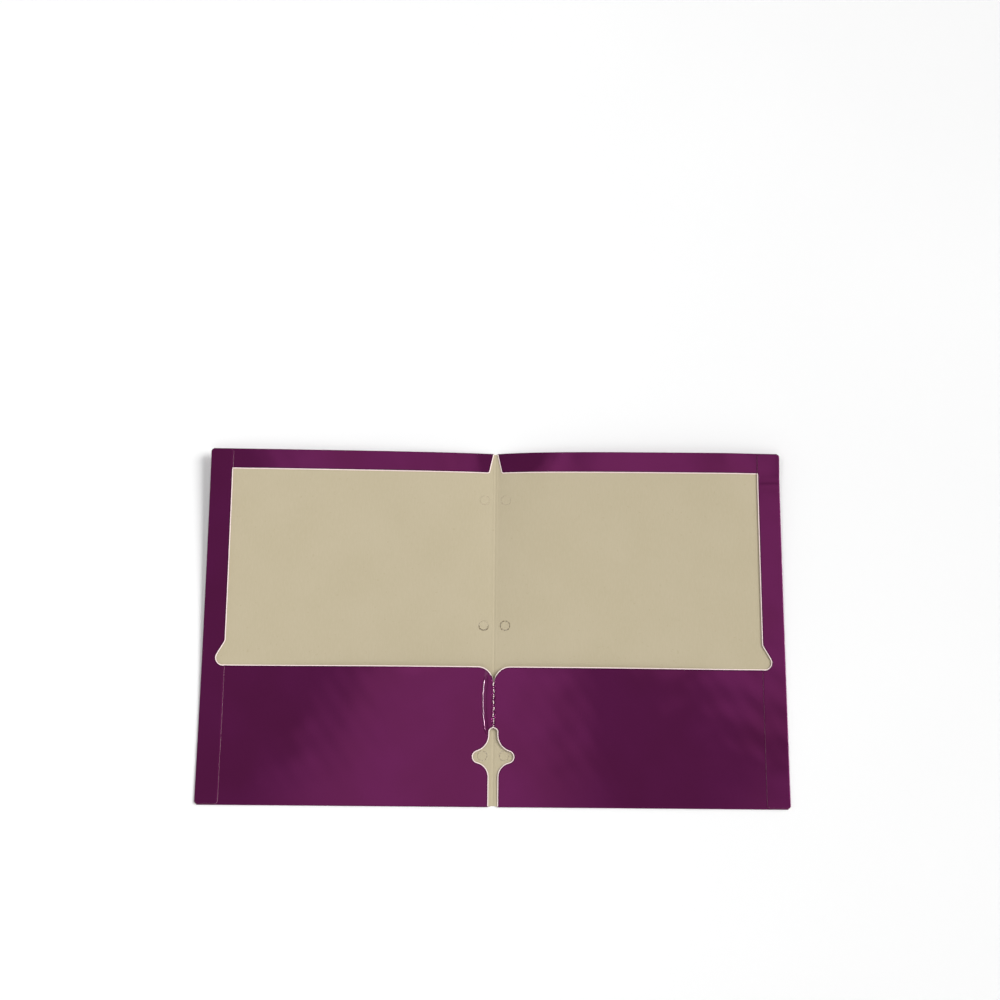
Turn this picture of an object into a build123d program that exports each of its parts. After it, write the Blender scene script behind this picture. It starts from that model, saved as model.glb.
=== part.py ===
"""Two-pocket folder of glossy laminated card, lying open with its inside up.

One die-cut blank is creased down the spine. A strip along its bottom edge is folded up across both
covers as the pockets, the top edge is folded down as a hem, and the side edges are folded in last
as hems that lie over the ends of the top hem and of the pockets and are glued to them.

Frame: X across the open folder with the spine at 0, Y up the page with mid-height at 0, Z up from
the table. The right half is drawn, and the left half is its mirror image. Lengths in millimetres.
"""

import os
from math import atan2, degrees, sqrt

from build123d import *

# Card and the layers it is folded into
card_thickness = 0.35
glue_thickness = 0.10
pocket_slack = 0.30
closing_clearance = 0.30

# Open folder, each cover measured from the spine line to its outer fold
cover_width = 241.3
folder_height = 298.45
corner_radius = 2.0

# Spine crease, a scored strip between the two covers
crease_width = 4.0
score_depth = 0.17
spine_notch_depth = 0.4

# Top hem, with a tapered notch at the spine
top_hem_depth = 17.5
notch_width_at_fold = 2.8
notch_width_at_edge = 10.2
notch_corner_radius = 2.0

# Side hem, with an ear-shaped relief beside the pocket mouth
side_hem_width = 19.0
hem_end_setback = 1.0
hem_corner_radius = 2.0
ear_rise = 19.8
ear_drop = 0.3
ear_depth = 11.5
ear_tip_radius = 6.0
ear_corner_radius = 0.8
ear_shoulder_radius = 6.0
tuck_setback = 1.0

# Pocket strip, with rounded lips that curve down to a narrow gap at the spine
pocket_height = 114.3
lip_radius = 13.0
lip_gap = 0.8

# Perforated ring holes beside the spine, each closed by a disc on small nicks
hole_diameter = 8.0
hole_pitch = 107.95
hole_offset = 8.9
kerf_width = 0.12
nick_width = 0.8
nick_count = 3

# Relief star in the pocket strip round the lowest pair of ring holes: two lobes, a tip and a slot
lobe_radius = 4.6
lobe_offset = 12.0
lobe_drop = 0.9
tip_width = 6.6
tip_neck_length = 2.2
upper_flank_radius = 14.0
slot_width = 7.2
lower_flank_radius = 12.0

# Glue lines stay inside the layers that they join
glue_margin = 2.5
cut_overrun = 2.0

# Levels of the layers above the table, and the axis that the folder closes about
top_hem_level = card_thickness + glue_thickness
pocket_level = card_thickness + pocket_slack
side_hem_level = pocket_level + card_thickness + glue_thickness
stack_height = side_hem_level + card_thickness
hinge_height = stack_height + closing_clearance / 2

# Rolled folds: the inside of each turn is half the space between the two layers that it joins
top_fold_inside = (top_hem_level - card_thickness) / 2
pocket_fold_inside = (pocket_level - card_thickness) / 2
side_fold_inside = (side_hem_level - card_thickness) / 2
top_fold_y = folder_height / 2 - top_fold_inside - card_thickness
pocket_fold_y = -folder_height / 2 + pocket_fold_inside + card_thickness
side_fold_x = cover_width - side_fold_inside - card_thickness

# Edges that several pieces share, on the right half
crease_x = crease_width / 2
mouth_y = -folder_height / 2 + pocket_height
hem_edge_y = folder_height / 2 - top_hem_depth
hem_edge_x = cover_width - side_hem_width
tuck_x = side_fold_x - tuck_setback
fold_end_x = cover_width - corner_radius
fold_end_y = folder_height / 2 - corner_radius
lip_x = lip_gap / 2 + lip_radius
lip_end_y = mouth_y - lip_radius
lobe_y = -hole_pitch - lobe_drop
hole_radius = hole_diameter / 2
hole_places = [(hole_offset, row * hole_pitch) for row in (-1, 0, 1)]

os.makedirs("parts", exist_ok=True)


def block(x_low, x_high, y_low, y_high):
    """A rectangle between two X and two Y limits, in the current sketch."""
    with Locations(((x_low + x_high) / 2, (y_low + y_high) / 2)):
        Rectangle(x_high - x_low, y_high - y_low)


def round_corner(x, y, radius):
    """Round the corner of the current sketch that lies at a point."""
    fillet(vertices().sort_by_distance((x, y))[0], radius)


def rolled_fold(plane, centre, inside, start_angle, length):
    """Card turned through half a circle about a centre on the plane, drawn out along its normal."""
    with BuildPart() as fold:
        with BuildSketch(plane):
            with BuildLine():
                inner = CenterArc(centre, inside, start_angle, 180)
                outer = CenterArc(centre, inside + card_thickness, start_angle, 180)
                Line(inner @ 0, outer @ 0)
                Line(inner @ 1, outer @ 1)
            make_face()
        extrude(amount=length)
    return fold


def scored_strip(level, y_low, y_high):
    """Crease strip with a round score in its upper face, coaxial with the closing axis."""
    with BuildPart() as strip:
        with BuildSketch(Plane.XZ.offset(-y_high)):
            block(-crease_x, crease_x, level, level + card_thickness)
            with Locations((0, hinge_height)):
                Circle(hinge_height - level - card_thickness + score_depth, mode=Mode.SUBTRACT)
        extrude(amount=y_high - y_low)
    return strip


def flank_centre(bar_width, radius, upward):
    """Centre of a concave flank arc that touches the edge of a bar and, from outside, a lobe."""
    across = bar_width / 2 + radius
    rise = sqrt((radius + lobe_radius) ** 2 - (across - lobe_offset) ** 2)
    return across, lobe_y + upward * rise


def keep(node, piece):
    """Label one finished piece and write it."""
    piece.part.label = node
    export_step(piece.part, f"parts/{node}.step")


def keep_pair(node, right):
    """Write a right-hand piece and its mirror image on the left half."""
    with BuildPart() as left:
        mirror(right.part, about=Plane.YZ)
    keep(f"right_{node}", right)
    keep(f"left_{node}", left)


# Relief star: a round tip, two round lobes and a slot that runs out through the bottom fold
upper_x, upper_y = flank_centre(tip_width, upper_flank_radius, 1)
lower_x, lower_y = flank_centre(slot_width, lower_flank_radius, -1)
upper_angle = degrees(atan2(upper_y - lobe_y, upper_x - lobe_offset))
lower_angle = degrees(atan2(lobe_y - lower_y, lower_x - lobe_offset))
with BuildSketch() as relief_star:
    with BuildLine():
        tip = CenterArc((0, upper_y + tip_neck_length), tip_width / 2, 0, 90)
        flank = CenterArc((upper_x, upper_y), upper_flank_radius, 180, upper_angle)
        Line(tip @ 0, flank @ 0)
        CenterArc((lobe_offset, lobe_y), lobe_radius, -lower_angle, lower_angle + upper_angle)
        slot = CenterArc((lower_x, lower_y), lower_flank_radius, 180 - lower_angle, lower_angle)
        slot_end_y = -folder_height / 2 - cut_overrun
        Polyline(slot @ 1, (slot_width / 2, slot_end_y), (0, slot_end_y), tip @ 1)
    make_face()
    mirror(about=Plane.YZ)

# Lip notch: what the two rounded lips leave open at the mouth
with BuildSketch() as lip_notch:
    block(-lip_x, lip_x, lip_end_y, mouth_y + cut_overrun)
    with Locations((-lip_x, lip_end_y), (lip_x, lip_end_y)):
        Circle(lip_radius, mode=Mode.SUBTRACT)

# Cover: a flat panel with three perforated ring holes
with BuildPart() as cover:
    with BuildSketch():
        block(crease_x, side_fold_x, pocket_fold_y, top_fold_y)
        round_corner(side_fold_x, top_fold_y, corner_radius)
        round_corner(side_fold_x, pocket_fold_y, corner_radius)
        with Locations(*hole_places):
            Circle(hole_radius, mode=Mode.SUBTRACT)
    extrude(amount=card_thickness)
keep_pair("cover", cover)

# Hole knock-outs: discs cut round by a kerf and held by short nicks
with BuildPart() as hole_knockouts:
    with BuildSketch():
        with Locations(*hole_places):
            Circle(hole_radius - kerf_width)
            with PolarLocations(hole_radius - kerf_width, nick_count, start_angle=90):
                Rectangle(2 * kerf_width, nick_width)
        with Locations(*hole_places):
            Circle(hole_radius, mode=Mode.INTERSECT)
    extrude(amount=card_thickness)
keep_pair("hole_knockouts", hole_knockouts)

# Spine crease: the scored strip that the folder closes about
spine_crease = scored_strip(0, pocket_fold_y + spine_notch_depth, top_fold_y - spine_notch_depth)
keep("spine_crease", spine_crease)

# Top fold and top hem: the top edge turned down onto the cover
top_fold = rolled_fold(
    Plane.YZ.offset(notch_width_at_fold / 2),
    (top_fold_y, card_thickness + top_fold_inside),
    top_fold_inside,
    -90,
    fold_end_x - notch_width_at_fold / 2,
)
keep_pair("top_fold", top_fold)

with BuildPart() as top_hem:
    with BuildSketch(Plane.XY.offset(top_hem_level)):
        with BuildLine():
            Polyline(
                (notch_width_at_fold / 2, top_fold_y),
                (notch_width_at_edge / 2, hem_edge_y),
                (tuck_x, hem_edge_y),
                (tuck_x, top_fold_y),
                close=True,
            )
        make_face()
        round_corner(notch_width_at_edge / 2, hem_edge_y, notch_corner_radius)
        round_corner(tuck_x, top_fold_y, corner_radius)
    extrude(amount=card_thickness)
keep_pair("top_hem", top_hem)

# Pocket fold and pocket: the bottom strip turned up in front of the cover
pocket_fold = rolled_fold(
    Plane.YZ.offset(slot_width / 2),
    (pocket_fold_y, card_thickness + pocket_fold_inside),
    pocket_fold_inside,
    90,
    fold_end_x - slot_width / 2,
)
keep_pair("pocket_fold", pocket_fold)

with BuildPart() as pocket:
    with BuildSketch(Plane.XY.offset(pocket_level)):
        block(crease_x, tuck_x, pocket_fold_y, mouth_y)
        round_corner(tuck_x, pocket_fold_y, corner_radius)
        add(relief_star.sketch, mode=Mode.SUBTRACT)
        add(lip_notch.sketch, mode=Mode.SUBTRACT)
    extrude(amount=card_thickness)
keep_pair("pocket", pocket)

# Pocket crease: the pocket strip runs on across the spine between the lips and the star
pocket_strip = scored_strip(pocket_level, lobe_y, mouth_y)
with BuildPart() as pocket_crease:
    add(pocket_strip.part)
    extrude(relief_star.sketch, amount=stack_height, mode=Mode.SUBTRACT)
    extrude(lip_notch.sketch, amount=stack_height, mode=Mode.SUBTRACT)
keep("pocket_crease", pocket_crease)

# Side fold and side hem: the side edge turned in over the ends of the top hem and the pocket
side_fold = rolled_fold(
    Plane.XZ.offset(-fold_end_y),
    (side_fold_x, card_thickness + side_fold_inside),
    side_fold_inside,
    -90,
    2 * fold_end_y,
)
keep_pair("side_fold", side_fold)

hem_end_y = folder_height / 2 - hem_end_setback
with BuildPart() as side_hem:
    with BuildSketch(Plane.XY.offset(side_hem_level)):
        block(hem_edge_x, side_fold_x, -hem_end_y, hem_end_y)
        for end_y in (-hem_end_y, hem_end_y):
            round_corner(hem_edge_x, end_y, hem_corner_radius)
            round_corner(side_fold_x, end_y, corner_radius)
        with BuildLine():
            Polyline(
                (hem_edge_x, mouth_y + ear_rise),
                (hem_edge_x + ear_depth, mouth_y - ear_drop),
                (hem_edge_x, mouth_y - ear_drop),
                close=True,
            )
        make_face(mode=Mode.SUBTRACT)
        round_corner(hem_edge_x + ear_depth, mouth_y - ear_drop, ear_tip_radius)
        round_corner(hem_edge_x, mouth_y - ear_drop, ear_corner_radius)
        round_corner(hem_edge_x, mouth_y + ear_rise, ear_shoulder_radius)
    extrude(amount=card_thickness)
keep_pair("side_hem", side_hem)

# Glue: top hem to cover, side hem to pocket, and side hem to the end of the top hem
with BuildPart() as top_glue:
    with BuildSketch(Plane.XY.offset(card_thickness)):
        block(
            notch_width_at_edge / 2 + glue_margin,
            tuck_x - glue_margin,
            hem_edge_y + glue_margin,
            top_fold_y - glue_margin,
        )
    extrude(amount=glue_thickness)
keep_pair("top_glue", top_glue)

with BuildPart() as pocket_glue:
    with BuildSketch(Plane.XY.offset(pocket_level + card_thickness)):
        block(
            hem_edge_x + glue_margin,
            tuck_x - glue_margin,
            pocket_fold_y + glue_margin,
            mouth_y - ear_drop - glue_margin,
        )
    extrude(amount=glue_thickness)
keep_pair("pocket_glue", pocket_glue)

with BuildPart() as corner_glue:
    with BuildSketch(Plane.XY.offset(top_hem_level + card_thickness)):
        block(
            hem_edge_x + glue_margin,
            tuck_x - glue_margin,
            hem_edge_y + glue_margin,
            top_fold_y - glue_margin,
        )
    extrude(amount=side_hem_level - top_hem_level - card_thickness)
keep_pair("corner_glue", corner_glue)
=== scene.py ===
"""Looks of a two-pocket folder of gloss card, lying open on a pale floor with its inside up.

Every panel is a thin closed sheet worked out on a grid. The sheets share one bow, the way that the
open card lifts off the table towards its top edge, and the pockets stand a little off the covers.
"""

import math

import bmesh
import bpy
import numpy as np
from mathutils import Matrix, Vector


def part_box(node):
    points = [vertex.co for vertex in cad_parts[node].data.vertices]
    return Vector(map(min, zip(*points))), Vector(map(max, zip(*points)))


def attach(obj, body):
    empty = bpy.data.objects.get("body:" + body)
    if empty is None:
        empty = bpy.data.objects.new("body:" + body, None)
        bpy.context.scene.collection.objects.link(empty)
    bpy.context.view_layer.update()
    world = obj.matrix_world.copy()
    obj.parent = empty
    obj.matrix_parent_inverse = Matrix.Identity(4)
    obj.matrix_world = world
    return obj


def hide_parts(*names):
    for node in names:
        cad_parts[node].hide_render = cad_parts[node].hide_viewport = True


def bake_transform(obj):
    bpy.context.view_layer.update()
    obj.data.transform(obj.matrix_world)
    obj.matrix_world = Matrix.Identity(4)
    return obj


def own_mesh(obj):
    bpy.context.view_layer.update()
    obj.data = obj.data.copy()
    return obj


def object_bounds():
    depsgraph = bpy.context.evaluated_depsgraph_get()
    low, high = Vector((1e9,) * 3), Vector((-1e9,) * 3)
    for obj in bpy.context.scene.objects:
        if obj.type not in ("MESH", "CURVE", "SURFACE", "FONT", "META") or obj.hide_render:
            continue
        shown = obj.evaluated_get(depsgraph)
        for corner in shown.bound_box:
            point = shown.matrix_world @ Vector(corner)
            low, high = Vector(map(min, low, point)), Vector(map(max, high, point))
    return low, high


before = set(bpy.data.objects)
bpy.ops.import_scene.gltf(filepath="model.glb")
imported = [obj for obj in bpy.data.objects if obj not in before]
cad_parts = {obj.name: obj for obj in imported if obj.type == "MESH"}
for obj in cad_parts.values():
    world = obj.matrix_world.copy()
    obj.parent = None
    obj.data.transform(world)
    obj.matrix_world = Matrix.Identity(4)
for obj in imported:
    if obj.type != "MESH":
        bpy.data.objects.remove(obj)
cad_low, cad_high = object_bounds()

MM = 0.001
SIDES = {"left": -1, "right": 1}

# Sizes read from the frame, on the right half
cover_low, cover_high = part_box("right_cover")
top_hem_low, top_hem_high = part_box("right_top_hem")
side_hem_low, side_hem_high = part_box("right_side_hem")
pocket_low, pocket_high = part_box("right_pocket")
knockout_low, knockout_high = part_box("right_hole_knockouts")
spine_low, spine_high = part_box("spine_crease")

card = cover_high.z
half_width = cad_high.x
half_height = cad_high.y
crease_x = cover_low.x
side_fold_x = cover_high.x
pocket_fold_y = cover_low.y
top_fold_y = cover_high.y
top_hem_level = top_hem_low.z
top_hem_edge_y = top_hem_low.y
tuck_x = top_hem_high.x
side_hem_level = side_hem_low.z
side_hem_edge_x = side_hem_low.x
side_hem_end_y = side_hem_high.y
pocket_level = pocket_low.z
mouth_y = pocket_high.y
slot_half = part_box("right_pocket_fold")[0].x
fold_end_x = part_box("right_pocket_fold")[1].x
fold_end_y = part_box("right_side_fold")[1].y
notch_half_at_fold = top_hem_low.x
hole_x = (knockout_low.x + knockout_high.x) / 2
disc_radius = (knockout_high.x - knockout_low.x) / 2
hole_rows = (knockout_low.y + disc_radius, 0.0, knockout_high.y - disc_radius)

# Outline details of the die-cut blank
corner_radius = 2.0 * MM
notch_half_at_edge = 5.1 * MM
notch_corner_radius = 2.0 * MM
hem_corner_radius = 2.0 * MM
ear_rise = 19.8 * MM
ear_drop = 0.3 * MM
ear_depth = 11.5 * MM
ear_tip_radius = 6.0 * MM
ear_corner_radius = 0.8 * MM
ear_shoulder_radius = 6.0 * MM
lip_radius = 13.0 * MM
lip_half_gap = 0.4 * MM
lip_x = lip_half_gap + lip_radius
lip_end_y = mouth_y - lip_radius
lobe_radius = 4.6 * MM
lobe_x = 12.0 * MM
lobe_y = hole_rows[0] - 0.9 * MM
tip_half = 3.3 * MM
tip_neck = 2.2 * MM
upper_flank_radius = 14.0 * MM
lower_flank_radius = 12.0 * MM
hole_radius = disc_radius + 0.12 * MM
kerf_widths = (0.20 * MM, 0.22 * MM, 0.12 * MM)
hole_patch_half = 7.0 * MM
nick_half_angle = math.radians(6)
nick_angles = [math.radians(angle) for angle in (90, 210, 330)]
disc_tilts = {"left": (1.5, 2.2, -0.8), "right": (-1.2, 1.4, 0.6)}

# How the card bows and how far the pockets stand off the covers
bow_height = 9.8 * MM
swell_height = 0.9 * MM
swell_x = 40 * MM
swell_low_y = mouth_y - 12 * MM
swell_high_y = mouth_y + 45 * MM
bow_start_y = mouth_y - 65 * MM
left_rise_steepness = 1.5
left_bow_power = 1.8
right_rise_steepness = 5.0
right_bow_power = 2
curl_depth = 30 * MM
curl_share = 0.38
droop_share = 0.2
droop_start_share = 0.78
pocket_gape = 3.0 * MM
gape_power = 1.5
gape_fade_x = 70 * MM
wave_height = 0.03 * MM
wave_reaches = (6.5 * MM, 4.6 * MM, 2.8 * MM)
wave_sways = (1.3, 1.7)
wave_sway_reaches = (21 * MM, 17 * MM)
wave_shifts = (0.8, 2.1)
wave_slant = 0.7
slant_wave_share = 0.4
edge_crush_depth = 0.10 * MM
edge_crush_width = 0.45 * MM
score_depth = 0.16 * MM
score_half = 1.4 * MM
groove_half = 0.8 * MM

# A buckle in the left pocket beside the crease, and the crumpled film along the crease
buckle_x = 8.1 * MM
buckle_y = -63 * MM
buckle_bend = 1.2 * MM
buckle_bend_reach = 18 * MM
buckle_height = 0.32 * MM
buckle_width = 0.65 * MM
buckle_rounding = 0.35 * MM
buckle_fade_start = 1 * MM
buckle_fade_end = 6 * MM
crumple_height = 0.20 * MM
crumple_wave = 2.2 * MM
crumple_rates = (3.1, 1.7)
crumple_slants = (0.5 * MM, 0.7 * MM)
crumple_sway = 2.0
crumple_sway_reach = 3.3 * MM
crumple_shift = 1.1
crumple_share = 0.6
# Pale cracks along the crease: partly cracked film, partly a painted highlight for the glints of the
# crumpled film
crack_glint_width = 0.55 * MM
crack_glint_sways = (0.25 * MM, 0.15 * MM)
crack_glint_sway_reaches = (1.9 * MM, 0.7 * MM)
crack_glint_gap_reaches = (0.29 * MM, 0.8 * MM)
crack_glint_gap_shift = 0.6
crack_glint_shut_level = -1.0
crack_glint_open_level = 0.5
crack_glint_shut_gap = 1.9
crack_glint_open_gain = 1.25

# Where the film has lifted along the buckle
lift_y = -62 * MM
lift_half_width = 2.2 * MM
lift_half_length = 35 * MM
lift_strength = 0.8
lift_core_share = 0.1

# How faint the painted shade in the kerf round each perforated hole is, as distances added to the true one
middle_row = 1
upper_row = 2
upper_fade = 0.45 * MM
lower_fade = 0.25 * MM
half_fade = 0.6 * MM
half_fade_range = (-0.25, 0.35)
dash_fade = 0.3 * MM
dash_fade_range = (-0.2, 0.4)
dash_count = 9

# How far the finishes reach from a cut edge or a hole, and the painted shade beside cut edges and in the
# kerf round the holes
cut_raggedness = 0.3 * MM
bare_range = (0.6 * MM, 0.85 * MM)
crushed_and_shaded_range = (1.0 * MM, 2.2 * MM)
# Reach of the painted shade in the kerf round each hole
kerf_shade_range = (0.15 * MM, 0.55 * MM)

# Spacing of the grids and limits of the meshes
coarse = 4.0 * MM
medium = 2.0 * MM
fine = 1.2 * MM
relief_reach_x = 24 * MM
notch_reach_x = notch_half_at_edge + 6 * MM
near_crowding = 1.25
row_decimals = 5
point_decimals = 7
tie_break = 1e-9
shortest_run = 1e-9
weld_distance = 1e-7
far_from_edges = 1.0
sharp_angle = math.radians(50)


def step_line(low, high, step):
    """Evenly spaced values from low to high, no further apart than the step."""
    return np.linspace(low, high, max(2, int(math.ceil((high - low) / step)) + 1))


def smooth(value, low, high):
    """Smooth step: 0 below low, 1 above high, and 3t^2 - 2t^3 between them."""
    t = np.clip((value - low) / (high - low), 0, 1)
    return t * t * (3 - 2 * t)


def rounded_path(corners, radii, steps=10):
    """A polyline with its inner corners rounded: each arc starts at radius times the tangent of half the
    turn before its corner, and turns about a centre one radius to the inside of the turn."""
    corners = np.array(corners, float)
    runs = np.diff(corners, axis=0)
    runs /= np.linalg.norm(runs, axis=1)[:, None]
    pieces = [corners[:1]]
    for corner, into, away, radius in zip(corners[1:-1], runs[:-1], runs[1:], radii):
        turn = math.atan2(into[0] * away[1] - into[1] * away[0], into @ away)
        start = corner - into * radius * math.tan(abs(turn) / 2)
        inward = math.copysign(radius, turn) * np.array([-into[1], into[0]])
        across = np.array([inward[1], -inward[0]])
        angle = np.linspace(0, turn, steps)[:, None]
        pieces.append(start + inward - np.cos(angle) * inward + np.sin(angle) * across)
    return np.vstack(pieces + [corners[-1:]])


def arc(centre, radius, start, end, steps=14):
    """Points on a circle about a centre, from one angle to another."""
    angle = np.linspace(start, end, steps)
    return np.stack([centre[0] + radius * np.cos(angle), centre[1] + radius * np.sin(angle)], axis=1)


def distance_to(x, y, path):
    """Shortest distance from each point to a polyline, taken over all of its straight runs."""
    points = np.stack([x.ravel(), y.ravel()], axis=1)[:, None, :]
    start = path[:-1][None]
    run = np.diff(path, axis=0)[None]
    along = ((points - start) * run).sum(2) / np.maximum((run * run).sum(2), shortest_run**2)
    nearest = start + np.clip(along, 0, 1)[..., None] * run
    return np.linalg.norm(points - nearest, axis=2).min(1).reshape(x.shape)


def flank_centre(bar_half, radius, upward):
    """Centre of a concave flank of the star: a radius beside its bar, and touching the lobe from outside."""
    across = bar_half + radius
    return across, lobe_y + upward * math.sqrt((radius + lobe_radius) ** 2 - (across - lobe_x) ** 2)


upper_flank = flank_centre(tip_half, upper_flank_radius, 1)
lower_flank = flank_centre(slot_half, lower_flank_radius, -1)
tip_y = upper_flank[1] + tip_neck
star_top_y = tip_y + tip_half


def star_edge():
    """Right edge of the star from the bottom fold up: slot, lower flank, lobe, upper flank, and the round
    tip as far as the crease. The arcs meet where their centres line up."""
    upper_angle = math.atan2(upper_flank[1] - lobe_y, upper_flank[0] - lobe_x)
    lower_angle = math.atan2(lobe_y - lower_flank[1], lower_flank[0] - lobe_x)
    arcs = [
        arc(lower_flank, lower_flank_radius, math.pi, math.pi - lower_angle),
        arc((lobe_x, lobe_y), lobe_radius, -lower_angle, upper_angle),
        arc(upper_flank, upper_flank_radius, math.pi + upper_angle, math.pi),
        arc((0, tip_y), tip_half, 0, math.acos(crease_x / tip_half)),
    ]
    return np.vstack([[(slot_half, pocket_fold_y)], *arcs])


def lip_edge():
    """Rounded lip of the right pocket: a quarter circle, from the crease up to the mouth."""
    start = math.pi - math.acos((lip_x - crease_x) / lip_radius)
    return arc((lip_x, lip_end_y), lip_radius, start, math.pi / 2, steps=24)


def rise(u, steepness):
    """Rise from 0 to 1 that flattens out: 1 - exp(-steepness u), divided by its value at 1."""
    return (1 - np.exp(-steepness * u)) / (1 - math.exp(-steepness))


def hem_curl(y):
    """Curl of the card along the top edge: a parabola as far as the hem, then straight over the hem to 1."""
    share = np.clip((y - half_height + curl_depth) / curl_depth, 0, 1)
    bend = 1 - (half_height - top_hem_edge_y) / curl_depth
    curve = np.where(share < bend, share**2 / (2 * bend), share - bend / 2)
    return curve / (1 - bend / 2)


def bow(x, y):
    """Height of the bowed card: none at the spine and low on the pockets, and most along the top edge.
    Across, each half rises away from the spine and flattens out, the right half more steeply. Up the page
    it grows as a power of the height, and the right hem curls up and droops again at its corner. Above the
    pockets both halves also swell beside the spine, as s exp(1 - s) of the distance s from the crease."""
    u = np.clip((np.abs(x) - crease_x) / (half_width - crease_x), 0, 1)
    t = np.clip((y - bow_start_y) / (half_height - bow_start_y), 0, 1)
    left = rise(u, left_rise_steepness) * t**left_bow_power
    across = rise(u, right_rise_steepness) - droop_share * smooth(u, droop_start_share, 1.0)
    right = across * ((1 - curl_share) * t**right_bow_power + curl_share * hem_curl(y))
    away = np.maximum(np.abs(x) - crease_x, 0) / swell_x
    swell = swell_height * away * np.exp(1 - away) * smooth(y, swell_low_y, swell_high_y)
    return bow_height * np.where(x < 0, left, right) + swell


def waves(x, y):
    """Faint unevenness of the card: three crossing sine waves, 14 to 41 mm long. The first runs across, the
    second up the page, each swaying with a longer sine wave, and the third runs at a slant."""
    sway_up = wave_sways[0] * np.sin(y / wave_sway_reaches[0])
    sway_across = wave_sways[1] * np.sin(x / wave_sway_reaches[1])
    first = np.sin(x / wave_reaches[0] + sway_up)
    second = np.sin(y / wave_reaches[1] + sway_across + wave_shifts[0])
    third = np.sin((x + wave_slant * y) / wave_reaches[2] + wave_shifts[1])
    return wave_height * (first + second + slant_wave_share * third) / 2


def pocket_stand(x, y):
    """How far the pocket stands off its cover: it grows from the bottom fold to the mouth, and fades out
    towards the side hem."""
    up = np.clip((y - pocket_fold_y) / (mouth_y - pocket_fold_y), 0, 1)
    return pocket_gape * up**gape_power * (1 - smooth(np.abs(x), gape_fade_x, side_hem_edge_x))


def buckle_line(y):
    """Where the buckle runs: a parabola beside the crease, which both of its ends bend towards."""
    return -buckle_x + buckle_bend * ((y - buckle_y) / buckle_bend_reach) ** 2


def buckle(x, y):
    """A soft ridge beside the crease of the left pocket: exp(-d / width) of the rounded distance d from the
    buckle's line, fading out at the lip and at the star."""
    away = np.sqrt((x - buckle_line(y)) ** 2 + buckle_rounding**2) - buckle_rounding
    below_lip = 1 - smooth(y, lip_end_y + buckle_fade_start, lip_end_y + buckle_fade_end)
    above_star = smooth(y, star_top_y - buckle_fade_end, star_top_y - buckle_fade_start)
    return buckle_height * below_lip * above_star * np.exp(-away / buckle_width)


def pocket_top(x, y):
    """Height of a pocket's upper face: its level, the bow, the faint waves clear of the fold and crease, its
    stand-off, and on the left half the buckle."""
    still = smooth(y, pocket_fold_y, lobe_y) * smooth(np.abs(x), crease_x, relief_reach_x)
    height = pocket_level + card + bow(x, y) + waves(x, y) * still + pocket_stand(x, y)
    return height + np.where(x < 0, buckle(x, y), 0)


def top_hem_top(x, y):
    """Height of a top hem's upper face: its level, the bow and the faint waves."""
    return top_hem_level + card + bow(x, y) + waves(x, y)


def side_hem_top(x, y):
    """Height of a side hem's upper face: its level, the bow and the faint waves."""
    return side_hem_level + card + bow(x, y) + waves(x, y)


def crumple(x, y):
    """Crumpled film: folded sine waves of changing direction, as sharp as their absolute values."""
    sway = crumple_sway * np.sin(y / crumple_sway_reach)
    rising = np.abs(np.sin(y / crumple_wave * crumple_rates[0] + sway + x / crumple_slants[0]))
    falling = np.abs(np.sin(y / crumple_wave * crumple_rates[1] - x / crumple_slants[1] + crumple_shift))
    return crumple_height * (rising + falling - 1)


def film_lift(x, y):
    """How far the film has lifted: none outside an oval bent along the buckle, and most in its middle."""
    away = ((x - buckle_line(y)) / lift_half_width) ** 2 + ((y - lift_y) / lift_half_length) ** 2
    return lift_strength * (1 - smooth(away, lift_core_share, 1.0))


def crease_cracks_and_glints(x, y):
    """Distance from the cracks in the film along the crease, painted pale. They are partly real cracks and
    partly a painted highlight for the glints of the crumpled film: a line that wanders with the sum of two
    sine waves, and opens and closes with the sum of two others."""
    wide, narrow = (sway * np.sin(y / reach) for sway, reach in zip(crack_glint_sways, crack_glint_sway_reaches))
    short_gap = np.sin(y / crack_glint_gap_reaches[0])
    long_gap = np.sin(y / crack_glint_gap_reaches[1] + crack_glint_gap_shift)
    open_share = smooth(short_gap + long_gap, crack_glint_shut_level, crack_glint_open_level)
    return np.abs(x - (wide + narrow)) + crack_glint_width * (crack_glint_shut_gap - crack_glint_open_gain * open_share)


def kerf_shade_faintness(side, row, angle):
    """How faint the painted shade in the kerf of a perforated hole is round its circle, as a distance to add
    to the true one: the upper holes hardly show, the left middle one shows in its lower half, and the rest
    show in dashes."""
    if row == upper_row:
        return np.full(angle.shape, upper_fade)
    if row == middle_row and side < 0:
        return half_fade * smooth(np.sin(angle), *half_fade_range)
    faintness = dash_fade * smooth(np.sin(dash_count * angle), *dash_fade_range)
    return faintness if row == middle_row else faintness + lower_fade


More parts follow.
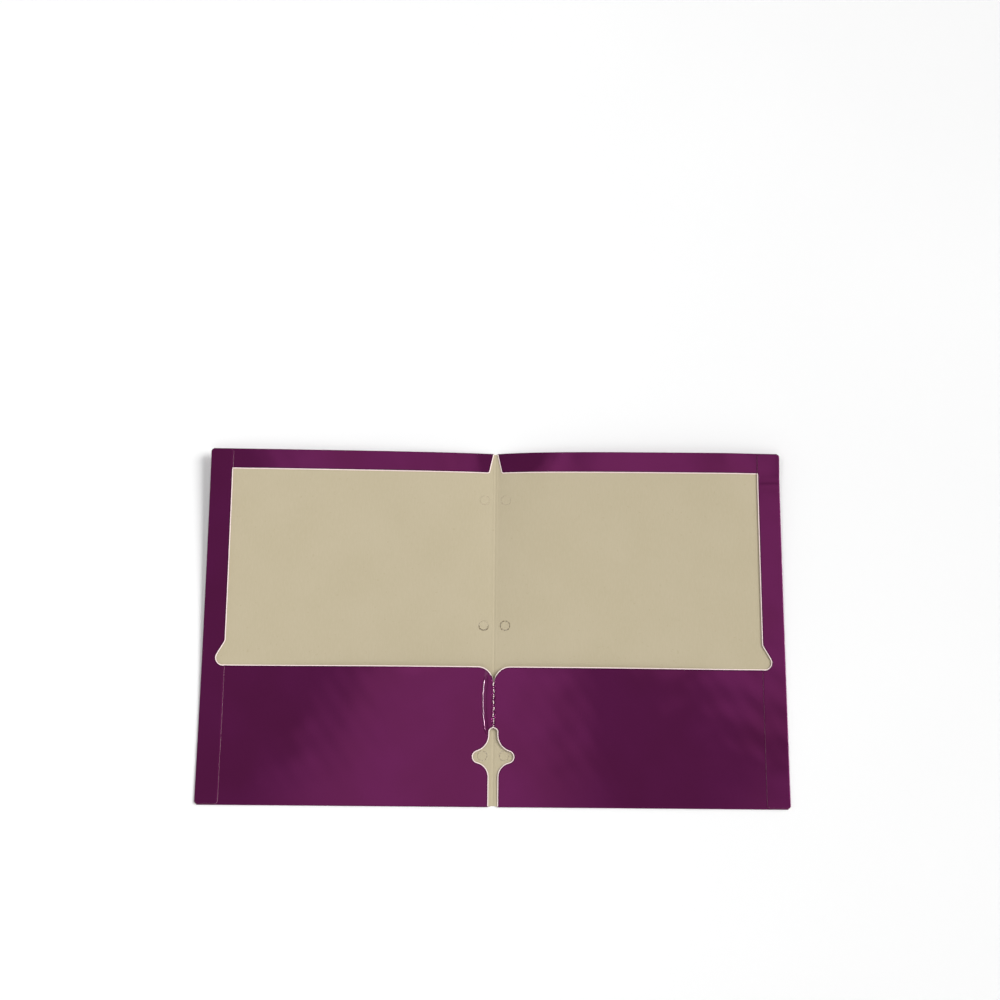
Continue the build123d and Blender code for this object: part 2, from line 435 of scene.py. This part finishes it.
class Skin:
    """Grids of points gathered into one mesh. Points that fall together are joined when it is built."""

    def __init__(self):
        self.points = []
        self.edges = []
        self.quads = []
        self.finishes = []
        self.count = 0

    def add(self, grid, finish, edge=None, skip=None):
        """Adds a grid of points, rows by columns by 3, as quads of one finish, but for the skipped cells."""
        rows, columns = grid.shape[:2]
        index = self.count + np.arange(rows * columns).reshape(rows, columns)
        quads = np.stack([index[:-1, :-1], index[:-1, 1:], index[1:, 1:], index[1:, :-1]], axis=2)
        quads = quads.reshape(-1, 4) if skip is None else quads[~skip]
        self.points.append(grid.reshape(-1, 3))
        self.edges.append(np.full(rows * columns, far_from_edges) if edge is None else edge.ravel())
        self.quads.append(quads)
        self.finishes.append(np.full(len(quads), finish))
        self.count += rows * columns

    def close(self, upper, lower, edge=None, skip=None):
        """Adds an upper face, a lower face and a rim strip along each border, as finishes 0, 1 and 2."""
        self.add(upper, 0, edge, skip)
        self.add(lower, 1, None, skip)
        every = slice(None)
        for border in ((0, every), (-1, every), (every, 0), (every, -1)):
            self.add(np.stack([upper[border], lower[border]]), 2)

    def build(self, name, materials):
        """Joins what falls together, turns the faces outwards and makes the object."""
        points = np.vstack(self.points)
        cells = np.round(points / weld_distance).astype(np.int64)
        _, first, where = np.unique(cells, axis=0, return_index=True, return_inverse=True)
        mesh = bpy.data.meshes.new(name)
        mesh.from_pydata(points[first].tolist(), [], where.ravel()[np.vstack(self.quads)].tolist())
        mesh.polygons.foreach_set("material_index", np.concatenate(self.finishes).astype(np.int32))
        points = points[first]
        traits = {
            "edge": np.concatenate(self.edges)[first],
            "lifted": film_lift(points[:, 0], points[:, 1]),
        }
        for trait, values in traits.items():
            channel = mesh.attributes.new(trait, "FLOAT", "POINT")
            channel.data.foreach_set("value", values.astype(np.float32))
        work = bmesh.new()
        work.from_mesh(mesh)
        bmesh.ops.recalc_face_normals(work, faces=work.faces)
        work.to_mesh(mesh)
        work.free()
        mesh.polygons.foreach_set("use_smooth", np.ones(len(mesh.polygons), bool))
        mesh.set_sharp_from_angle(angle=sharp_angle)
        for material in materials:
            mesh.materials.append(material)
        piece = bpy.data.objects.new(name, mesh)
        bpy.context.scene.collection.objects.link(piece)
        return piece


def panel_grid(inner, outer, row_step, near_x, near_count, far_step):
    """A planform between two edge lines that climb the page: one row for each height on either line, and
    columns from the inner line to a fixed line, crowded towards the inner one, then on to the outer line."""
    heights = [inner[:, 1], outer[:, 1], step_line(inner[0, 1], inner[-1, 1], row_step)]
    rows = np.unique(np.round(np.concatenate(heights), row_decimals))
    rows = np.clip(rows, inner[0, 1], inner[-1, 1])
    x_in, x_out = (
        np.interp(rows, line[:, 1] + np.arange(len(line)) * tie_break, line[:, 0])[:, None]
        for line in (inner, outer)
    )
    near = np.linspace(0, 1, near_count) ** near_crowding
    far = step_line(near_x, outer[:, 0].max(), far_step)[1:] - near_x
    far_share = (far / far[-1])[None]
    x = np.hstack([x_in + (near_x - x_in) * near[None], near_x + (x_out - near_x) * far_share])
    return x, np.broadcast_to(rows[:, None], x.shape).copy()


def crushed(edge):
    """Loss of height at a cut edge, a parabola that ends at the crush width."""
    return edge_crush_depth * np.clip(1 - edge / edge_crush_width, 0, 1) ** 2


def lay(x, y, height, thickness=card):
    """Upper and lower points of a sheet whose upper face has the given height."""
    return np.stack([x, y, height], axis=2), np.stack([x, y, height - thickness], axis=2)


def rgb(red, green, blue):
    """Linear colour of an sRGB one, each channel from 0 to 255."""
    share = np.array([red, green, blue]) / 255
    linear = np.where(share <= 0.04045, share / 12.92, ((share + 0.055) / 1.055) ** 2.4)
    return (*linear.tolist(), 1.0)


class Wire:
    """A shader socket that works in Python sums: each operation adds a Math node to its tree."""

    def __init__(self, tree, socket):
        self.tree = tree
        self.socket = socket

    def node(self, kind, settings, sockets, output=0):
        """Adds a node of a kind, its settings first, then the values or links of its input sockets."""
        made = self.tree.nodes.new(kind)
        for name, value in settings.items():
            setattr(made, name, value)
        for name, value in sockets.items():
            if isinstance(value, Wire):
                self.tree.links.new(value.socket, made.inputs[name])
            else:
                made.inputs[name].default_value = value
        return Wire(self.tree, made.outputs[output])

    def math(self, operation, first, second):
        """Adds a Math node for an operation on two values."""
        return self.node("ShaderNodeMath", {"operation": operation}, {0: first, 1: second})

    def __add__(self, other):
        return self.math("ADD", self, other)

    def __sub__(self, other):
        return self.math("SUBTRACT", self, other)

    def __rsub__(self, other):
        return self.math("SUBTRACT", other, self)

    def __mul__(self, other):
        return self.math("MULTIPLY", self, other)

    __radd__ = __add__
    __rmul__ = __mul__

    def step(self, low, high):
        """Smooth step of this value between two limits."""
        return self.node(
            "ShaderNodeMapRange",
            {"interpolation_type": "SMOOTHSTEP"},
            {"Value": self, "From Min": low, "From Max": high},
        )

    def noise(self, size, detail=2.0, stretch=(1, 1, 1)):
        """Noise over these coordinates with features of a size, drawn out along each axis."""
        scale = [1 / (size * drawn) for drawn in stretch]
        spread = self.node("ShaderNodeVectorMath", {"operation": "MULTIPLY"}, {0: self, 1: scale})
        return self.node("ShaderNodeTexNoise", {}, {"Vector": spread, "Scale": 1.0, "Detail": detail})

    def attribute(self, name):
        """Value of a named attribute of the mesh."""
        return self.node("ShaderNodeAttribute", {"attribute_name": name}, {}, output=2)

    def mix(self, first, second):
        """Colour mixed from first to second by this value."""
        return self.node(
            "ShaderNodeMix", {"data_type": "RGBA"}, {"Factor": self, 6: first, 7: second}, output=2
        )


def new_material(name, **constants):
    """A material with its Principled shader, the constants set on its sockets, and object coordinates."""
    material = bpy.data.materials.new(name)
    material.use_nodes = True
    tree = material.node_tree
    shader = tree.nodes["Principled BSDF"]
    for socket, value in constants.items():
        shader.inputs[socket.replace("_", " ")].default_value = value
    coordinates = Wire(tree, tree.nodes.new("ShaderNodeTexCoord").outputs["Object"])
    return material, shader, coordinates


def plug(shader, **wires):
    """Links values to the named sockets of a shader."""
    for socket, wire in wires.items():
        wire.tree.links.new(wire.socket, shader.inputs[socket.replace("_", " ")])


def bump(height, distance):
    """Surface normal of a relief: a height between 0 and 1, times a distance in metres."""
    return height.node("ShaderNodeBump", {}, {"Height": height, "Distance": distance, "Strength": 1.0})


def gloss_print():
    """Purple print under a gloss film. Where the film lies close, its gloss takes the colour of the ink and
    is almost smooth. Where it has lifted, its gloss is white. The cut edges are bare board, and the film
    beside them is darker: partly crushed ink, partly painted shade."""
    material, shader, place = new_material("gloss_print", IOR=1.5, Specular_IOR_Level=0.05)
    cloud = place.noise(70 * MM)
    ink = place.noise(0.7 * MM)
    peel = place.noise(1.7 * MM)
    edge = place.attribute("edge")
    lifted = place.attribute("lifted")
    cut = edge + (ink - 0.5) * cut_raggedness
    bare = 1 - cut.step(*bare_range)
    crushed_and_shaded_film = 1 - cut.step(*crushed_and_shaded_range)
    colour = cloud.step(0.3, 0.7).mix(rgb(97, 31, 76), rgb(102, 33, 83))
    colour = (ink.step(0.35, 0.75) * 0.2).mix(colour, rgb(88, 27, 70))
    # Painted shade: the film beside each cut edge is darkened, partly as crushed ink
    colour = (crushed_and_shaded_film * 0.5).mix(colour, rgb(58, 17, 42))
    colour = bare.mix(colour, rgb(253, 232, 230))
    roughness = 0.035 + (cloud - 0.5) * 0.02 + bare * 0.6
    relief = bump(peel * 0.2 + ink * 0.03, 0.03 * MM)
    plug(shader, Base_Color=colour, Metallic=0.4 - bare * 0.4, Roughness=roughness, Normal=relief)
    close_film = Wire(place.tree, shader.outputs[0])
    loose_look = {"Base Color": colour, "Roughness": roughness, "Normal": relief}
    loose_film = place.node("ShaderNodeBsdfPrincipled", {}, loose_look)
    film = place.node("ShaderNodeMixShader", {}, {0: lifted, 1: close_film, 2: loose_film})
    place.tree.links.new(film.socket, place.tree.nodes["Material Output"].inputs["Surface"])
    return material


def cream_board():
    """Bare cream board: faint clouds, short fibres along the page, a few darker specks, and a dark line of
    painted shade in the kerf round the perforated holes."""
    material, shader, place = new_material("cream_board", IOR=1.45, Specular_IOR_Level=0.3)
    cloud = place.noise(45 * MM, detail=3.0)
    fibre = place.noise(0.9 * MM, detail=3.0, stretch=(1, 5, 1))
    grain = place.noise(0.5 * MM)
    speck = place.noise(2.6 * MM, detail=1.0).step(0.70, 0.78)
    colour = cloud.step(0.25, 0.75).mix(rgb(189, 177, 148), rgb(192, 180, 152))
    colour = (fibre.step(0.3, 0.8) * 0.3).mix(colour, rgb(201, 189, 162))
    colour = (speck * 0.25).mix(colour, rgb(170, 154, 122))
    # Painted shade: a dark line where the kerf round each knock-out lies in shadow
    kerf_shade = 1 - place.attribute("edge").step(*kerf_shade_range)
    colour = (kerf_shade * 0.75).mix(colour, rgb(112, 98, 74))
    plug(
        shader,
        Base_Color=colour,
        Roughness=0.62 + (fibre - 0.5) * 0.2,
        Normal=bump(fibre * 0.6 + grain * 0.4, 0.03 * MM),
    )
    return material


def raw_edge():
    """Cut edge of the board: pale layers of fibre."""
    material, shader, place = new_material("raw_edge", IOR=1.45, Specular_IOR_Level=0.2)
    layers = place.noise(0.6 * MM, detail=3.0, stretch=(3, 3, 0.15))
    plug(
        shader,
        Base_Color=layers.step(0.3, 0.7).mix(rgb(230, 207, 201), rgb(246, 226, 220)),
        Roughness=0.8 + (layers - 0.5) * 0.2,
        Normal=bump(layers, 0.02 * MM),
    )
    return material


def dried_glue():
    """Dried adhesive: pale amber with small bubbles."""
    material, shader, place = new_material("dried_glue", IOR=1.48)
    bubbles = place.noise(1.1 * MM, detail=1.0)
    plug(
        shader,
        Base_Color=bubbles.step(0.4, 0.7).mix(rgb(202, 184, 140), rgb(222, 210, 176)),
        Roughness=0.35 + bubbles * 0.2,
        Normal=bump(bubbles, 0.03 * MM),
    )
    return material


PRINT = gloss_print()
BOARD = cream_board()
RAW = raw_edge()
GLUE = dried_glue()
print_up = (PRINT, BOARD, RAW)
board_up = (BOARD, PRINT, RAW)
glue_only = (GLUE, GLUE, GLUE)


def make_cover(name, side):
    """Cover: a bowed sheet with rounded outer corners. Its grid leaves a square round each ring hole, which
    a patch fills. The patch's rings go from the circle of the hole, where they crowd, to the square."""
    patch_cells = 8
    ring_count = 6
    ring_crowding = 1.5
    corner_points = 8
    patch = np.linspace(-hole_patch_half, hole_patch_half, patch_cells + 1)
    columns = [step_line(crease_x, hole_x - hole_patch_half, fine), hole_x + patch]
    columns.append(step_line(hole_x + hole_patch_half, side_fold_x - corner_radius, coarse))
    x_line = np.unique(np.round(np.concatenate(columns), point_decimals))
    stops = [pocket_fold_y + corner_radius]
    for hole_y in hole_rows:
        stops += [hole_y - hole_patch_half, hole_y + hole_patch_half]
    stops.append(top_fold_y - corner_radius)
    rows = [hole_y + patch for hole_y in hole_rows]
    rows += [step_line(low, high, coarse) for low, high in zip(stops[::2], stops[1::2])]
    turn = np.linspace(0, math.pi / 2, corner_points)
    rows.append(stops[0] - corner_radius * np.sin(turn))
    rows.append(stops[-1] + corner_radius * np.sin(turn))
    y_line = np.unique(np.round(np.concatenate(rows), point_decimals))
    into_corner = np.maximum(np.maximum(stops[0] - y_line, y_line - stops[-1]), 0)
    outer = side_fold_x - corner_radius + np.sqrt(np.maximum(corner_radius**2 - into_corner**2, 0))
    x = np.broadcast_to(x_line, (len(y_line), len(x_line)))
    x = np.hstack([x, (x[:, -1] + outer)[:, None] / 2, outer[:, None]])
    y = np.broadcast_to(y_line[:, None], x.shape)
    x_mid = (x[:-1, :-1] + x[1:, 1:]) / 2
    y_mid = (y[:-1, :-1] + y[1:, 1:]) / 2
    in_square = [
        np.maximum(abs(x_mid - hole_x), abs(y_mid - hole_y)) < hole_patch_half for hole_y in hole_rows
    ]

    def faces(x, y):
        """Upper and lower points of the cover: its level, the bow and the faint waves."""
        return lay(side * x, y, card + bow(side * x, y) + waves(side * x, y))

    skin = Skin()
    skin.close(*faces(x, y), skip=np.any(in_square, axis=0))
    low = np.full(patch_cells, -hole_patch_half)
    high = np.full(patch_cells, hole_patch_half)
    square_x = np.concatenate([patch[:-1], high, patch[:0:-1], low, patch[:1]])
    square_y = np.concatenate([low, patch[:-1], high, patch[:0:-1], patch[:1]])
    angle = np.arctan2(square_y, square_x)
    share = np.linspace(0, 1, ring_count)[:, None] ** ring_crowding
    for row, hole_y in enumerate(hole_rows):
        # The distance from the circle also carries the painted shade of the kerf
        mark = share * (hole_patch_half - hole_radius) + kerf_shade_faintness(side, row, angle)
        circle_x = hole_x + hole_radius * np.cos(angle)
        circle_y = hole_y + hole_radius * np.sin(angle)
        border_x = np.round(hole_x + square_x, point_decimals)
        border_y = np.round(hole_y + square_y, point_decimals)
        ring_x = (1 - share) * circle_x + share * border_x
        ring_y = (1 - share) * circle_y + share * border_y
        upper, lower = faces(ring_x, ring_y)
        skin.add(upper, 0, mark)
        skin.add(lower, 1)
        skin.add(np.stack([upper[0], lower[0]]), 2)
    return skin.build(name, board_up)


def make_knockouts(name, side):
    """Hole knock-outs: discs mapped from a square grid, with short nicks out to the cover, each a little
    tilted about the X axis as if pushed."""
    disc_points = 25
    line = np.linspace(-1, 1, disc_points)
    u, v = np.meshgrid(line, line)
    reach = np.maximum(abs(u), abs(v))
    angle = np.arctan2(v, u)
    off_nick = np.min([abs(np.angle(np.exp(1j * (angle - nick)))) for nick in nick_angles], axis=0)
    skin = Skin()
    tilts = disc_tilts["left" if side < 0 else "right"]
    for row, (hole_y, kerf, tilt) in enumerate(zip(hole_rows, kerf_widths, tilts)):
        radius = hole_radius - kerf * (off_nick > nick_half_angle)
        # The distance from the rim also carries the painted shade of the kerf
        mark = (1 - reach) * radius + kerf_shade_faintness(side, row, angle)
        x = side * (hole_x + reach * radius * np.cos(angle))
        y = hole_y + reach * radius * np.sin(angle)
        tip = (y - hole_y) * math.tan(math.radians(tilt)) * (off_nick > nick_half_angle)
        skin.close(*lay(x, y, card + bow(x, y) + tip + abs(tip).max()), mark)
    return skin.build(name, board_up)


def make_top_hem(name, side):
    """Top hem: a strip whose inner end slants along the notch at the spine, with a rounded corner."""
    inner = rounded_path(
        [(tuck_x, top_hem_edge_y), (notch_half_at_edge, top_hem_edge_y), (notch_half_at_fold, top_fold_y)],
        [notch_corner_radius],
    )[1:]
    end_line = np.array([(tuck_x, top_hem_edge_y), (tuck_x, top_fold_y)])
    x, y = panel_grid(inner, end_line, medium, notch_reach_x, near_count=18, far_step=medium)
    edge = distance_to(x, y, np.vstack([[(tuck_x, top_hem_edge_y)], inner]))
    skin = Skin()
    skin.close(*lay(side * x, y, top_hem_top(side * x, y) - crushed(edge)), edge)
    return skin.build(name, print_up)


def make_side_hem(name, side):
    """Side hem: a strip up the whole side whose inner edge steps back in an ear beside the pocket mouth."""
    ear_y = mouth_y - ear_drop
    inner = rounded_path(
        [
            (side_fold_x, -side_hem_end_y),
            (side_hem_edge_x, -side_hem_end_y),
            (side_hem_edge_x, ear_y),
            (side_hem_edge_x + ear_depth, ear_y),
            (side_hem_edge_x, mouth_y + ear_rise),
            (side_hem_edge_x, side_hem_end_y),
            (side_fold_x, side_hem_end_y),
        ],
        [hem_corner_radius, ear_corner_radius, ear_tip_radius, ear_shoulder_radius, hem_corner_radius],
    )[1:-1]
    outer = np.array([(side_fold_x, -side_hem_end_y), (side_fold_x, side_hem_end_y)])
    ear_x = side_hem_edge_x + ear_depth
    x, y = panel_grid(inner, outer, medium, ear_x, near_count=16, far_step=medium)
    edge = distance_to(x, y, inner)
    beside_board = inner[(inner[:, 1] > ear_y - weld_distance) & (inner[:, 1] < top_hem_edge_y)]
    bare_edge = distance_to(x, y, np.vstack([beside_board, [(side_hem_edge_x, top_hem_edge_y)]]))
    skin = Skin()
    skin.close(*lay(side * x, y, side_hem_top(side * x, y) - crushed(edge)), bare_edge)
    return skin.build(name, print_up)


def make_pocket(name, side):
    """Pocket: the strip folded up from the bottom, cut out round the star and the lip."""
    star = star_edge()
    lip = lip_edge()
    mouth = np.vstack([lip, [(tuck_x, mouth_y)]])
    inner = np.vstack([star, lip])
    outer = np.array([(tuck_x, pocket_fold_y), (tuck_x, mouth_y)])
    x, y = panel_grid(inner, outer, fine, relief_reach_x, near_count=84, far_step=medium)
    edge = np.minimum(distance_to(x, y, star), distance_to(x, y, mouth))
    skin = Skin()
    skin.close(*lay(side * x, y, pocket_top(side * x, y) - crushed(edge)), edge)
    return skin.build(name, print_up)


def make_pocket_crease(name, side):
    """One side of the pocket crease: the strip between the two pockets, from the round tip of the star up to
    the gap between the lips, with a folded groove down its middle and crumpled film beside it. It is split
    down the groove, where the folder turns."""
    gap_points = 4
    beside_points = 18
    row_count = 150
    beside = lip_half_gap + (crease_x - lip_half_gap) * np.linspace(0, 1, beside_points) ** 2
    x_line = side * np.concatenate([np.linspace(0, lip_half_gap, gap_points)[:-1], beside])
    low = tip_y + np.sqrt(tip_half**2 - x_line**2)
    from_lip = np.minimum(lip_x - abs(x_line), lip_radius)
    high = lip_end_y + np.sqrt(lip_radius**2 - from_lip**2)
    y = low + np.linspace(0, 1, row_count)[:, None] * (high - low)
    x = np.broadcast_to(x_line, y.shape)
    # Painted highlight: the pale crack line along the crease also stands for the glints of the crumpled film
    edge = np.minimum(np.minimum(y - low, high - y), crease_cracks_and_glints(x, y))
    inside = 1 - smooth(abs(x), crumple_share * crease_x, crease_x)
    groove = score_depth * np.clip(1 - abs(x) / groove_half, 0, 1)
    height = pocket_level + card + pocket_stand(x, y) + inside * (crumple(x, y) - groove)
    skin = Skin()
    skin.close(*lay(x, y, height), edge)
    return skin.build(name, print_up)


def make_spine_crease(name):
    """Spine crease: the scored strip between the covers, a groove of one raised cosine."""
    across_points = 21
    x_line = np.linspace(-crease_x, crease_x, across_points)
    x, y = np.meshgrid(x_line, step_line(spine_low.y, spine_high.y, medium))
    groove = score_depth * (1 + np.cos(np.clip(x / score_half, -1, 1) * math.pi)) / 2
    upper, lower = lay(x, y, card - groove)
    lower[..., 2] = spine_low.z
    skin = Skin()
    skin.close(upper, lower)
    return skin.build(name, board_up)


def make_fold(name, side, along, axis, line, level, outward):
    """Rolled fold: half a turn of card about a line, from the cover's level to the level above it. The
    angle goes round from below to above, and the roll follows the bow along its length."""
    roll_points = 17
    inside = (level - card) / 2
    turn = np.linspace(0, math.pi, roll_points)[None]
    faces = []
    for radius in (inside + card, inside):
        out = line + outward * radius * np.sin(turn) + 0 * along[:, None]
        run = along[:, None] + 0 * turn
        x, y = (run, out) if axis == "x" else (out, run)
        x = side * x
        height = card + inside - radius * np.cos(turn) + bow(x, y)
        faces.append(np.stack([x, y, height], axis=2))
    skin = Skin()
    skin.close(*faces)
    return skin.build(name, print_up)


def make_glue(name, side, node):
    """Glue line: a thin sheet that follows the bow of the two layers that it joins."""
    low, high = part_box(node)
    x, y = np.meshgrid(step_line(low.x, high.x, coarse), step_line(low.y, high.y, coarse))
    skin = Skin()
    skin.close(*lay(side * x, y, high.z + bow(side * x, y), high.z - low.z))
    return skin.build(name, glue_only)


def settle(piece, body, node):
    """Puts a finished piece on its body in place of its node, and gives it a mesh of its own unless it is a
    pocket roll."""
    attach(piece, body)
    if not node.endswith("pocket_fold"):
        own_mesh(piece)
    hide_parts(node)


def make_half(label, side):
    """All the pieces of one half of the folder. A roll is given by the points along it, the axis that it
    runs along, the line that it turns about, the level that it leads up to, and its outward direction."""
    body = f"{label}_half"
    fold_x = step_line(notch_half_at_fold, fold_end_x, medium)
    slot_x = step_line(slot_half, fold_end_x, medium)
    fold_y = step_line(-fold_end_y, fold_end_y, medium)
    top_roll = (fold_x, "x", top_fold_y, top_hem_level, 1)
    pocket_roll = (slot_x, "x", pocket_fold_y, pocket_level, -1)
    side_roll = (fold_y, "y", side_fold_x, side_hem_level, 1)
    made = {
        "cover": make_cover(f"{label}_cover_sheet", side),
        "hole_knockouts": make_knockouts(f"{label}_knockout_discs", side),
        "top_hem": make_top_hem(f"{label}_top_hem_sheet", side),
        "side_hem": make_side_hem(f"{label}_side_hem_sheet", side),
        "pocket": make_pocket(f"{label}_pocket_sheet", side),
        "top_fold": make_fold(f"{label}_top_roll", side, *top_roll),
        "pocket_fold": make_fold(f"{label}_pocket_roll", side, *pocket_roll),
        "side_fold": make_fold(f"{label}_side_roll", side, *side_roll),
    }
    for node, piece in made.items():
        settle(piece, body, f"{label}_{node}")
    strip = make_pocket_crease(f"{label}_pocket_crease_strip", side)
    settle(strip, body, "pocket_crease")
    for node in ("top_glue", "pocket_glue", "corner_glue"):
        line = make_glue(f"{label}_{node}_line", side, f"right_{node}")
        settle(line, body, f"{label}_{node}")


for label, side in SIDES.items():
    make_half(label, side)

spine_strip = make_spine_crease("spine_crease_strip")
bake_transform(spine_strip)
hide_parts("spine_crease")

# Floor, light and camera
floor_size = 20.0
floor_drop = 0.1 * MM
floor_grain = 0.4
camera_place = Vector((-3.2 * MM, -274.2 * MM, 1380.2 * MM))
camera_turn = [math.radians(angle) for angle in (15.5, -0.42, 0.45)]
camera_lens = 60.7
camera_sensor = 36.0
surround_zenith = 0.04
surround_horizon = 0.9
surround_range = (0.1, 0.85)
sun_place = (0, 0, 2)
lamp_height = 1.55
buckle_glint_point = (-buckle_x - 0.66 * MM, -60 * MM)


def mirrored(point, height_at):
    """Place on a surface, and the direction in which it mirrors the camera. The normal comes from the slopes
    of the height either side of the point."""
    x, y = point
    reach = 0.05 * MM
    slope_x = float(height_at(x + reach, y) - height_at(x - reach, y)) / (2 * reach)
    slope_y = float(height_at(x, y + reach) - height_at(x, y - reach)) / (2 * reach)
    place = Vector((x, y, float(height_at(x, y))))
    normal = Vector((-slope_x, -slope_y, 1)).normalized()
    view = (camera_place - place).normalized()
    return place, 2 * view.dot(normal) * normal - view


# Soft glows: the place that mirrors each one to the camera, the surface there, its spread in degrees and
# its strength
GLOWS = (
    ((-50 * MM, -72 * MM), pocket_top, 6.5, 1.1),
    ((-28 * MM, 141 * MM), top_hem_top, 3.7, 0.9),
    ((-62 * MM, 141 * MM), top_hem_top, 3.7, 0.9),
    ((-128 * MM, 141 * MM), top_hem_top, 4.5, 0.9),
    ((60 * MM, 141 * MM), top_hem_top, 3.5, 0.5),
    ((115 * MM, 141 * MM), top_hem_top, 6.5, 1.25),
    ((205 * MM, 141 * MM), top_hem_top, 5.5, 1.2),
    ((232 * MM, 127.5 * MM), side_hem_top, 5.0, 0.9),
    ((232 * MM, 50 * MM), side_hem_top, 4.0, 1.0),
)


def make_floor():
    """Plain pale floor, large enough to reach the horizon of any view."""
    half = floor_size / 2
    x, y = np.meshgrid([-half, half], [-half, half])
    skin = Skin()
    skin.add(np.stack([x, y, np.full(x.shape, -floor_drop)], axis=2), 0)
    material, shader, place = new_material("pale_floor", Specular_IOR_Level=0.0, Roughness=1.0)
    grain = place.noise(floor_grain)
    plug(shader, Base_Color=grain.step(0.3, 0.7).mix(rgb(252, 252, 252), rgb(254, 254, 254)))
    floor = skin.build("floor", [material])


def make_world():
    """Soft surround: dim overhead and brighter towards the horizon, with a soft glow where each listed place
    mirrors the camera, and plain white to the camera."""
    world = bpy.data.worlds.new("studio")
    world.use_nodes = True
    bpy.context.scene.world = world
    tree = world.node_tree
    place = Wire(tree, tree.nodes.new("ShaderNodeTexCoord").outputs["Generated"])
    up = place.node("ShaderNodeSeparateXYZ", {}, {"Vector": place}, output=2)
    seen = place.node("ShaderNodeLightPath", {}, {})
    level = surround_horizon + up.step(*surround_range) * (surround_zenith - surround_horizon)
    for point, height_at, spread, strength in GLOWS:
        toward = mirrored(point, height_at)[1]
        dot = {"operation": "DOT_PRODUCT"}
        facing = place.node("ShaderNodeVectorMath", dot, {0: place, 1: toward}, output=1)
        level = level + facing.step(math.cos(math.radians(spread)), 1.0) * strength
    strength = level + seen * (1 - level)
    tree.links.new(strength.socket, tree.nodes["Background"].inputs["Strength"])
    tree.nodes["Background"].inputs["Color"].default_value = (1, 1, 1, 1)


def add_lamp(name, lamp, place, backward, along):
    """Puts a lamp in the scene: its back faces one way, and its length runs along another."""
    z_axis = Vector(backward).normalized()
    y_axis = (Vector(along) - Vector(along).dot(z_axis) * z_axis).normalized()
    holder = bpy.data.objects.new(name, lamp)
    holder.location = place
    holder.rotation_euler = Matrix((y_axis.cross(z_axis), y_axis, z_axis)).transposed().to_euler()
    bpy.context.scene.collection.objects.link(holder)


def add_sun(name, backward, angle, level):
    """A soft distant lamp that lights a level floor to a share of white."""
    lamp = bpy.data.lights.new(name, "SUN")
    lamp.angle = math.radians(angle)
    lamp.energy = level * math.pi / Vector(backward).normalized().z
    add_lamp(name, lamp, sun_place, backward, (0, 1, 0))


def add_glint(name, point, height_at, size, along, radiance):
    """A small bright lamp, placed so that the film mirrors it to the camera at a point."""
    lamp = bpy.data.lights.new(name, "AREA")
    lamp.shape = "RECTANGLE"
    lamp.size, lamp.size_y = size
    lamp.energy = radiance * math.pi * size[0] * size[1]
    place, direction = mirrored(point, height_at)
    add_lamp(name, lamp, place + direction * (lamp_height / direction.z), direction, along)


def make_camera():
    """Camera at the viewing angle of the picture, above the lower edge and looking down."""
    camera = bpy.data.cameras.new("camera")
    camera.lens = camera_lens
    camera.sensor_width = camera_sensor
    holder = bpy.data.objects.new("camera", camera)
    holder.location = camera_place
    holder.rotation_euler = camera_turn
    bpy.context.scene.collection.objects.link(holder)
    bpy.context.scene.camera = holder


make_floor()
make_world()
make_camera()
add_sun("key", backward=(1.15, 0.3, 1.0), angle=30, level=0.50)
add_sun("fill", backward=(0.0, -0.7, 0.8), angle=30, level=0.10)
add_glint(
    "buckle_glint", buckle_glint_point, pocket_top, size=(0.03, 0.40), along=(0, 1, 0), radiance=130
)
bpy.context.scene.view_settings.view_transform = "Standard"
